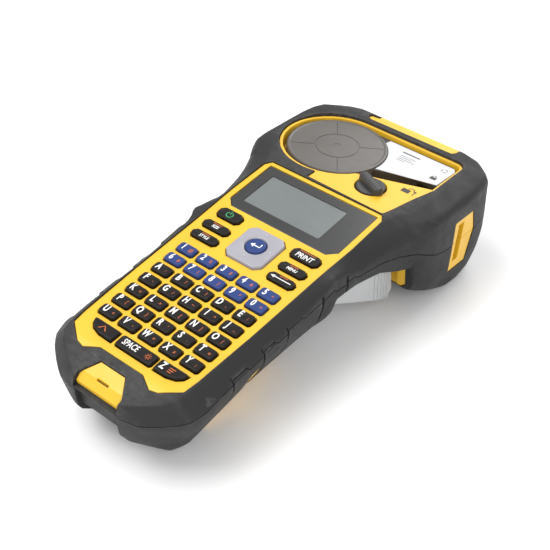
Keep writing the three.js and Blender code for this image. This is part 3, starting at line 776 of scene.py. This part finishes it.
def key_line(bm, points, width, ink, closed=False):
    stroke(bm, [Vector(point) for point in points], width, INK_Z, ink, closed)


def place_key(node, bm, colour="dark_key", body="", inks=("white_ink", "orange_ink")):
    made = make_object(node + "_cap", bm, DEVICE, [colour, *inks])
    finish_piece(made, body or node + "_body", [node])


def build_grid_keys():
    for r, (row, symbols) in enumerate(zip(ROWS, SYMBOLS, strict=True)):
        for column, (label, symbol) in enumerate(zip(row, symbols, strict=True)):
            x = KEY_MIDDLE.x + (column - 2) * KEY_PITCH.x
            y = -r * KEY_PITCH.y
            bm = bmesh.new()
            key_cap(bm, cut_corners(x, y, 10, 5.8, 1))
            lettering(bm, label, x - 2.1, y + 0.25, LETTER_HEIGHT, WHITE, LETTER_WEIGHT, LETTER_STRETCH)
            lettering(bm, symbol, x + 2.5, y - 0.2, SYMBOL_HEIGHT, ORANGE, SYMBOL_WEIGHT, SYMBOL_STRETCH)
            place_key(f"key_{label.lower()}", bm, "blue_key" if r < BLUE_ROWS else "dark_key")


def build_bottom_keys():
    """Shift and Z in the rounded corners, and the space key with its lamp between them."""
    bottom = -len(ROWS) * KEY_PITCH.y - 0.4
    corner = pairs((-26.8, 3), (-26, 0.4), (-23.6, -1.8), (-19, -3.2), (-11.6, -3.4), (-11.6, 3))
    bm = bmesh.new()
    key_cap(bm, [Vector((p.x + 0.6, p.y + bottom)) for p in corner])
    key_line(bm, [(-20.6, bottom - 1.2), (-18.6, bottom + 1.2), (-16.6, bottom - 1.2)], 0.55, ORANGE)
    place_key("key_shift", bm)

    bm = bmesh.new()
    key_cap(bm, [Vector((2.2 - p.x, p.y + bottom)) for p in corner])
    lettering(bm, "Z", 16.6, bottom + 0.2, LETTER_HEIGHT, WHITE, LETTER_WEIGHT, LETTER_STRETCH)
    for k in range(3):
        y = bottom + 1.1 - 1.1 * k
        key_line(bm, [(20, y), (23.2 - 0.6 * k, y)], 0.42, ORANGE)
    place_key("key_z", bm)

    bm = bmesh.new()
    key_cap(bm, cut_corners(1.6, bottom - 0.2, 21, 6.4, 1))
    lettering(bm, "SPACE", -2, bottom - 0.1, 3.2, WHITE, 0.02, LETTER_STRETCH)
    lamp = Vector((8.4, bottom - 0.2))
    key_line(bm, circle(lamp.x, lamp.y, 0.75, 16), 0.28, ORANGE, closed=True)
    for k in range(8):
        ray = Vector((math.cos(k * math.pi / 4), math.sin(k * math.pi / 4)))
        key_line(bm, [lamp + ray * 1.15, lamp + ray * 1.7], 0.28, ORANGE)
    place_key("key_space", bm)


WORD_KEYS = {  # outline, then place, height, weight and stretch of the word, then ends and width of the bar over it
    "SIZE": ((-23.4, 20, 15.6, 5.2, 1.8), (-23.4, 19.45, 1.7, 0.035, 0.85), (-26, -20.8, 21.35, 0.4)),
    "STYLE": ((-23.2, 11.4, 15.6, 5.2, 1.8), (-23.2, 10.85, 1.7, 0.035, 0.85), (-25.8, -20.6, 12.75, 0.4)),
    "PRINT": ((23.2, 29.4, 15.8, 6.6, 2), (23.2, 28.5, 3.1, 0.022, 0.78), (18.6, 27.8, 31.5, 0.42)),
    "MENU": ((23.6, 19.2, 14.8, 5.2, 1.8), (23.6, 18.6, 1.7, 0.035, 0.85), (21.2, 26, 20.6, 0.4)),
}


def build_function_keys():
    """The keys beside the navigation pad."""
    bm = bmesh.new()
    key_cap(bm, cut_corners(-23.6, 30.4, 13.8, 6.8, 2))
    key_line(bm, arc(-23.6, 30.2, 1.75, 125, 415, 20), 0.5, WHITE)
    key_line(bm, [(-23.6, 30.4), (-23.6, 32.6)], 0.5, WHITE)
    place_key("key_power", bm, inks=["green_ink"])

    for word, (outline, (x, y, height, weight, stretch), (left, right, over, width)) in WORD_KEYS.items():
        bm = bmesh.new()
        key_cap(bm, cut_corners(*outline))
        lettering(bm, word, x, y, height, WHITE, weight, stretch)
        key_line(bm, [(left, over), (right, over)], width, ORANGE)
        place_key(f"key_{word.lower()}", bm)

    bm = bmesh.new()
    key_cap(bm, cut_corners(23.6, 10.8, 14.8, 5.2, 1.8))
    key_line(bm, [(18.6, 10.6), (29.2, 10.6)], 0.5, WHITE)
    prism(bm, pairs((17.8, 10.6), (20, 9.7), (20, 11.5)), INK_Z, INK_Z + 0.055, WHITE)
    key_line(bm, [(22, 12.3), (26.6, 12.3)], 0.4, ORANGE)
    place_key("key_erase", bm)


def build_nav_pad():
    """The four-way pad, a ring that slopes down to the round enter key in its middle."""
    centre = Vector((0.2, 21.2))
    outline = rounded(cut_corners(0.6, 20.4, 21.6, 23.2, 3), 1.6, 6)
    sides = 96
    directions = circle(0, 0, 1, sides)

    def reach(direction):
        """How far the outline lies from the centre in one direction."""
        best = 0.0
        for p, q in zip(outline, outline[1:] + outline[:1], strict=True):
            edge = q - p
            cross = direction.x * edge.y - direction.y * edge.x
            if abs(cross) < 1e-9:
                continue
            t = ((p.x - centre.x) * edge.y - (p.y - centre.y) * edge.x) / cross
            u = ((p.x - centre.x) * direction.y - (p.y - centre.y) * direction.x) / cross
            if t > best and -1e-6 <= u <= 1 + 1e-6:
                best = t
        return best

    far = [reach(direction) for direction in directions]
    near = 5.55  # radius of the hole for the enter key
    # share of the way out to the outline, shift outwards, height
    profile = [(1, 0, KEY_BOTTOM), (1, 0, 0.75), (1, -0.2, 1.15), (1, -0.6, 1.35), (1, -1.1, 1.42), (0.55, 0, 1.36),
               (0.16, 0, 1.18), (0.06, 0, 0.98), (0, 0, 0.7), (0, 0, KEY_BOTTOM)]
    bm = bmesh.new()
    rings = [[bm.verts.new((*(centre + d * (near + (f - near) * share + shift)), z))
              for d, f in zip(directions, far, strict=True)] for share, shift, z in profile]
    bridge(bm, rings + rings[:1])
    for angle in (0, 90, 180, 270):
        turn = Matrix.Rotation(math.radians(angle), 2)
        tip = [centre + turn @ p for p in pairs((9.3, 0), (8, 0.9), (8, -0.9))]
        prism(bm, tip, 1.38, 1.47, WHITE)
    made = make_object("nav_pad_cap", bm, DEVICE, ["nav", "grey_ink"])
    finish_piece(made, "nav_pad_body", ["nav_pad"], smooth=50)
    bm = bmesh.new()
    cap(bm, circle(centre.x, centre.y, 5.1, 56), KEY_BOTTOM, KEY_FACE, 0.9, -0.02)
    arrow_z = INK_Z + 0.01
    stroke(bm, pairs((2.6, 23.2), (2.6, 20.9), (-1.2, 20.9)), 0.62, arrow_z, WHITE)
    prism(bm, pairs((-2.6, 20.9), (-0.6, 19.5), (-0.6, 22.3)), arrow_z, arrow_z + PRINT_HEIGHT, WHITE)
    place_key("key_enter", bm, "blue_key", "enter", ["white_ink"])


# ---------------------------------------------------------------- display
def build_display():
    """The window's dark border, with a hole for the sunken screen."""
    outline = rounded(pairs((-28.8, 37.4), (28.8, 37.4), (33, 41.6), (33, 73.2), (-33, 73.2), (-33, 41.6)), 1.2)
    bm = bmesh.new()
    cap(bm, outline, -2.3, -0.32, 0.35)
    frame_piece = make_object("display_window_frame", bm, Matrix.Identity(4), ["window"])
    screen = rounded(box_outline(-27, 44, 19.4, 67.5), 1.2)
    boolean(frame_piece, solid("screen_hole", prism, screen, -1, 2))
    frame_piece.data.transform(DEVICE)
    finish_piece(frame_piece, "housing", ["display_window"], smooth=40)
    bm = bmesh.new()
    cap(bm, grown(screen, -0.08), -0.98, -0.55, 0.15)
    screen_piece = make_object("display_screen", bm, DEVICE, ["display"])
    finish_piece(screen_piece, "housing")


# ---------------------------------------------------------------- pieces square to the deck
LEVER_TURN = -0.46  # of the lever's bar at rest, in radians


def build_cartridge():
    """The label cartridge in its bay: a round lid with two grooves and four ribs, a shell and a sticker."""
    x, s = BAY_X, 38.6
    bm = bmesh.new()
    profile = [(26.9, -6.4), (26.9, -1.5), (26.6, -1), (26.1, -0.84), (25.7, -0.84), (25.4, -0.95), (25.2, -1.1),
               (24.9, -1.1), (12.3, -1.1), (12.1, -1.1), (12, -1.35), (11.5, -1.35), (11.4, -1.1), (11.2, -1.1),
               (2.4, -1.1), (2.2, -1.1), (2.1, -1.3)]
    stack(bm, [(circle(x, s, radius, 96), z) for radius, z in profile])
    middle = Vector((x, s))
    for angle in (36, 126, 216, 306):
        a = math.radians(angle)
        along, side = Vector((math.cos(a), math.sin(a))), Vector((-math.sin(a), math.cos(a)))
        rib = [middle + along * u + side * v for u, v in ((12.2, -0.22), (25, -0.22), (25, 0.22), (12.2, 0.22))]
        prism(bm, rib, -1.3, -1.04, 1)  # in the dark plastic
    lid = make_object("cartridge_lid", bm, DECK, ["smoked", "dark_plastic"])
    finish_piece(lid, "cartridge", ["label_cartridge"], smooth=40)

    body_outline = rounded(pairs(
        (-22, 32), (6, 34), (27, 43), (38.8, 43.6), (38.8, 61.6), (35.4, 65), (-22, 65)), 1.2)
    lower = rounded(pairs(
        (-22, 32), (6, 34), (27, 43), (27, 48), (38.8, 48), (38.8, 61.6), (35.4, 65), (-22, 65)), 0.8)
    bm = bmesh.new()
    cap(bm, lower, -37.2, -4.2, 0.5)
    cap(bm, body_outline, -4.6, -1.9, 0.5)
    cap(bm, circle(x, WELL_S, 24.8, 72), -37.2, -5.6, 0.8)
    shell = make_object("cartridge_shell", bm, DECK, ["dark_plastic"])
    finish_piece(shell, "cartridge", smooth=40)

    bm = bmesh.new()
    round_lid = [p for p in arc(x, s, 27.3, 52, -12, 14) if p.y > 34.5]
    paper, ink, thickness = -1.72, 1, 0.03  # top of the sticker, then the slot and thickness of its print
    cap(bm, round_lid + pairs((37.6, 44.2), (38.2, 61.4), (36.4, 63.8), (-3.6, 63.8)), -2, paper, 0.05)
    rules = ((0, 10.5, 0.9), (1, 9, 0.3), (1, 7.4, 0.3), (1, 9.8, 0.3), (1, 5.2, 0.3))
    for k, (inset, length, width) in enumerate(rules):
        start = Vector((7.5 + inset, 59.2 - 1.6 * k - (1.8 if k else 0)))
        stroke(bm, [start, start + Vector((length, 0))], width, paper, ink, thickness=thickness)
    lock = Vector((32.8, 48.4))
    prism(bm, centred(lock.x, lock.y, 3.4, 2.4), paper, paper + thickness, ink)
    stroke(bm, arc(lock.x, lock.y + 1.3, 1.15, 0, 180, 10), 0.45, paper, ink, thickness=thickness)
    for start in (20, 140, 260):
        stroke(bm, arc(33.6, 58.4, 1.5, start, start + 85, 8), 0.42, paper, ink, thickness=thickness)
    sticker = make_object("cartridge_label", bm, DECK, ["sticker", "black_ink"])
    finish_piece(sticker, "cartridge")


def build_lever():
    """The cartridge lock: a round base under a bar with rounded ends."""
    middle = Vector((15.4, 17))
    bm = bmesh.new()
    cap(bm, circle(middle.x, middle.y, 7.6, 56), -5.5, 0.8, 0.7)
    turn = Matrix.Rotation(LEVER_TURN, 2)

    def bar(half_length, half_width):
        """Outline of the bar, turned about the lever's middle."""
        ends = arc(half_length - half_width, 0, half_width, -90, 90, 8)
        return [middle + turn @ p for p in ends + [Vector((-p.x, -p.y)) for p in ends]]

    stack(bm, [(bar(9.3, 3.1), 0.3), (bar(9.2, 2.9), 2.2), (bar(9, 2.6), 3.2), (bar(8.5, 2), 3.8),
               (bar(7.6, 1), 3.98)])
    knob = make_object("lock_lever_knob", bm, DECK, ["dark_plastic"])
    finish_piece(knob, "lever", ["lock_lever"], smooth=38)


def build_padlock_mark():
    """An open padlock and an arrow beside the lever, printed on the yellow deck."""
    bm = bmesh.new()
    middle = Vector((31.6, 26.4))
    prism(bm, centred(middle.x - 1.4, middle.y, 4.6, 3.4), 0, PRINT_HEIGHT)
    stroke(bm, arc(middle.x + 0.6, middle.y + 2, 1.6, 0, 180, 12), 0.6, 0, 0)
    arrow = middle + Vector((3.2, 0))
    stroke(bm, [arrow + Vector((0, -1.7)), arrow + Vector((0, 1.4))], 0.55, 0, 0)
    prism(bm, [arrow + tip for tip in pairs((-1, 1.2), (1, 1.2), (0, 2.9))], 0, PRINT_HEIGHT)
    made = make_object("padlock_mark", bm, DECK, ["black_ink"])
    finish_piece(made, "housing")


# ---------------------------------------------------------------- small parts
TRIGGER_RIBS, TRIGGER_FLUTES, DOOR_RIDGES = 9, 5, 6
CELL_SIDES = 40
# a battery cell from its button to its flat end, each (y, radius)
CELL_PROFILE = ((-47.4, 2.2), (-47.4, 2.6), (-46.6, 2.6), (-46.6, 6.4), (-46.1, 6.9), (-5.9, 6.9), (-5.4, 6.3))


def build_nose_slit():
    """A dark block deep in the slit for a wrist strap: painted shade where the slit lies in shadow."""
    bm = bmesh.new()
    # painted shade: dark plastic filling the slit's depth
    prism(bm, rounded(centred(0, -79, 6.6, 0.9), 0.3), -6.9, -5.2)
    finish_piece(make_object("strap_slit_painted_shade", bm, DEVICE, ["dark_plastic"]), "housing")


def build_trigger_ribs():
    """Grip ribs across the trigger's lower face and up its deep end."""
    under = pairs((44, -31.9), (51, -36.6), (62, -43.6), (73.6, -49.4), (77.2, -45.6))
    length = sum((q - p).length for p, q in pairwise(under))
    bm = bmesh.new()
    for k in range(TRIGGER_RIBS):
        along = (0.14 + 0.098 * k) * length
        for p, q in pairwise(under):
            if along <= (q - p).length:
                break
            along -= (q - p).length
        direction = (q - p).normalized()
        out = Vector((direction.y, -direction.x))
        foot = p + direction * along
        profile = [foot + direction * u + out * v for u, v in (
            (-0.8, -0.5), (0.8, -0.5), (0.7, 0.1), (0.35, 0.38), (-0.35, 0.38), (-0.7, 0.1))]
        across(bm, profile, -33, 33)
    made = make_object("trigger_grip_ribs", bm, DEVICE, ["trigger"])
    bevel(made, 0.1)
    finish_piece(made, "trigger")


def build_trigger_flutes():
    """Shallow upright flutes on both flanks of the trigger."""
    bm = bmesh.new()
    for side in (-1, 1):
        for k in range(TRIGGER_FLUTES):
            y = 62 + 2.6 * k
            x = side * (37 + 4.5 * min(1, (y - 30) / 36))  # the flank widens towards the head
            low, high = -(43.0 + 0.62 * (y - 62)), -(24.6 + 0.27 * (y - 62))
            near, far = y - 0.55, y + 0.55
            outline = rounded(pairs((near, low), (far, low - 0.3), (far, high), (near, high)), 0.4)
            outside = x + side * 0.35
            across(bm, outline, min(x, outside) - 0.2, max(x, outside) + 0.2 * (side < 0))
    made = make_object("trigger_flutes", bm, DEVICE, ["trigger"])
    bevel(made, 0.12)
    finish_piece(made, "trigger")


def build_battery_cells():
    """Three wrapped cells in a tray, seen when the battery door is off."""
    bm = bmesh.new()
    cap(bm, rounded(cut_corners(0, -26, 43, 44, 3), 1), -29, -21, 0.6)
    prism(bm, rounded(box_outline(-8, -50, 8, -46), 0.6), -36, -24)
    for x in (-14.2, 0, 14.2):
        rings = [[bm.verts.new((p.x, y, p.y)) for p in reversed(circle(x, -30.7, radius, CELL_SIDES))]
                 for y, radius in CELL_PROFILE]
        faces = [bm.faces.new(rings[0]), bm.faces.new(rings[-1])]
        for face in faces + bridge(bm, rings):
            face.material_index = 1
    made = make_object("battery_cells", bm, DEVICE, ["battery", "cell"])
    finish_piece(made, "housing", ["battery_pack"], smooth=35)


def build_door_marks():
    """Grip ridges on the battery door."""
    ridge = pairs((-0.6, 0.5), (0.6, 0.5), (0.6, -0.25), (0.3, -0.5), (-0.3, -0.5), (-0.6, -0.25))
    bm = bmesh.new()
    for k in range(DOOR_RIDGES):
        y = -12 + 2.2 * k
        place = Vector((y, -44.55 + 0.114 * (y + 20)))  # on the door's sloping face
        across(bm, [place + p for p in ridge], -9, 9)
    made = make_object("battery_door_ridges", bm, DEVICE, ["yellow"])
    bevel(made, 0.12)
    finish_piece(made, "door")


# ---------------------------------------------------------------- carried-over pieces
CARRIED = {  # material, rounding of the edges, slot
    "upper_case": ("yellow", 0.2, "yellow_case"),
    "lower_case": ("yellow", 0.2, "yellow_case"),
    "battery_door": ("yellow", 0.2, "battery_door"),
    "cutter_trigger": ("trigger", 0.9, "trigger"),
    "main_board": ("board", 0.15, "circuit_board"),
    "print_head": ("steel", 0.25, "steel"),
    "cutter_blade": ("steel", 0.12, "steel"),
    "platen_roller": ("roller", 0.3, "roller_rubber"),
}


def dress_carried():
    for name, (material, width, slot) in CARRIED.items():
        node = nodes[name]
        node.data.materials.clear()
        node.data.materials.append(MATERIAL[material])
        bevel(node, width, carried=True)


# ---------------------------------------------------------------- floor, light and camera
FLOOR_RADIUS, FLOOR_SIDES = 9, 96
LIGHTS = {  # place, size, power
    "key_light": ((-0.7, -0.5, 1.5), 1.2, 21),
    "fill_light": ((1.2, -0.8, 1), 1.3, 10),
    "back_light": ((-0.2, 1.3, 1.2), 1.1, 12),
}
SKY_STRENGTH = 0.6
AZIMUTH, ELEVATION, ROLL = math.radians(40.31), math.radians(44.38), math.radians(-1.88)
EYE = (239.8, -248.1, 334.3)  # in the device's frame
LENS = 68.73


def build_stage():
    bm = bmesh.new()
    rings = [[bm.verts.new((p.x, p.y, 0)) for p in circle(0, 0, FLOOR_RADIUS * share, FLOOR_SIDES)]
             for share in (0.05, 0.3, 1)]
    bm.faces.new(rings[0])
    bridge(bm, rings)
    mesh = bpy.data.meshes.new("floor")
    bm.to_mesh(mesh)
    bm.free()
    mesh.materials.append(studio_floor())
    staged = [add_object("floor", mesh)]
    for name, (place, size, power) in LIGHTS.items():
        light = bpy.data.lights.new(name, "AREA")
        light.size = size
        light.energy = power
        lamp = add_object(name, light)
        lamp.location = place
        lamp.rotation_euler = (-Vector(place)).to_track_quat("-Z", "Y").to_euler()
        staged.append(lamp)
    world = bpy.data.worlds.new("studio")
    world.use_nodes = True
    background = world.node_tree.nodes["Background"]
    background.inputs["Color"].default_value = (1, 1, 1, 1)
    background.inputs["Strength"].default_value = SKY_STRENGTH
    bpy.context.scene.world = world
    bpy.context.scene.view_settings.view_transform = "Standard"


def build_camera():
    """Looks down at the keypad from beside the nose."""
    back = Vector((math.sin(AZIMUTH) * math.cos(ELEVATION), -math.cos(AZIMUTH) * math.cos(ELEVATION),
                   math.sin(ELEVATION)))
    right = Vector((math.cos(AZIMUTH), math.sin(AZIMUTH), 0))
    up = back.cross(right)
    right, up = right * math.cos(ROLL) + up * math.sin(ROLL), up * math.cos(ROLL) - right * math.sin(ROLL)
    axes = Matrix((right, up, back)).transposed().to_4x4()
    camera = bpy.data.cameras.new("camera")
    camera.sensor_width = 36
    camera.lens = LENS
    camera.clip_start = 0.01
    made = add_object("camera", camera)
    made.matrix_world = Matrix.Translation(DEVICE @ Vector(EYE)) @ Matrix.Rotation(TILT, 4, "X") @ axes
    bpy.context.scene.camera = made


build_bumpers()
build_grid_keys()
build_bottom_keys()
build_function_keys()
build_nav_pad()
build_display()
build_cartridge()
build_lever()
build_padlock_mark()
build_nose_slit()
build_trigger_ribs()
build_trigger_flutes()
build_battery_cells()
build_door_marks()
dress_carried()
build_stage()
build_camera()
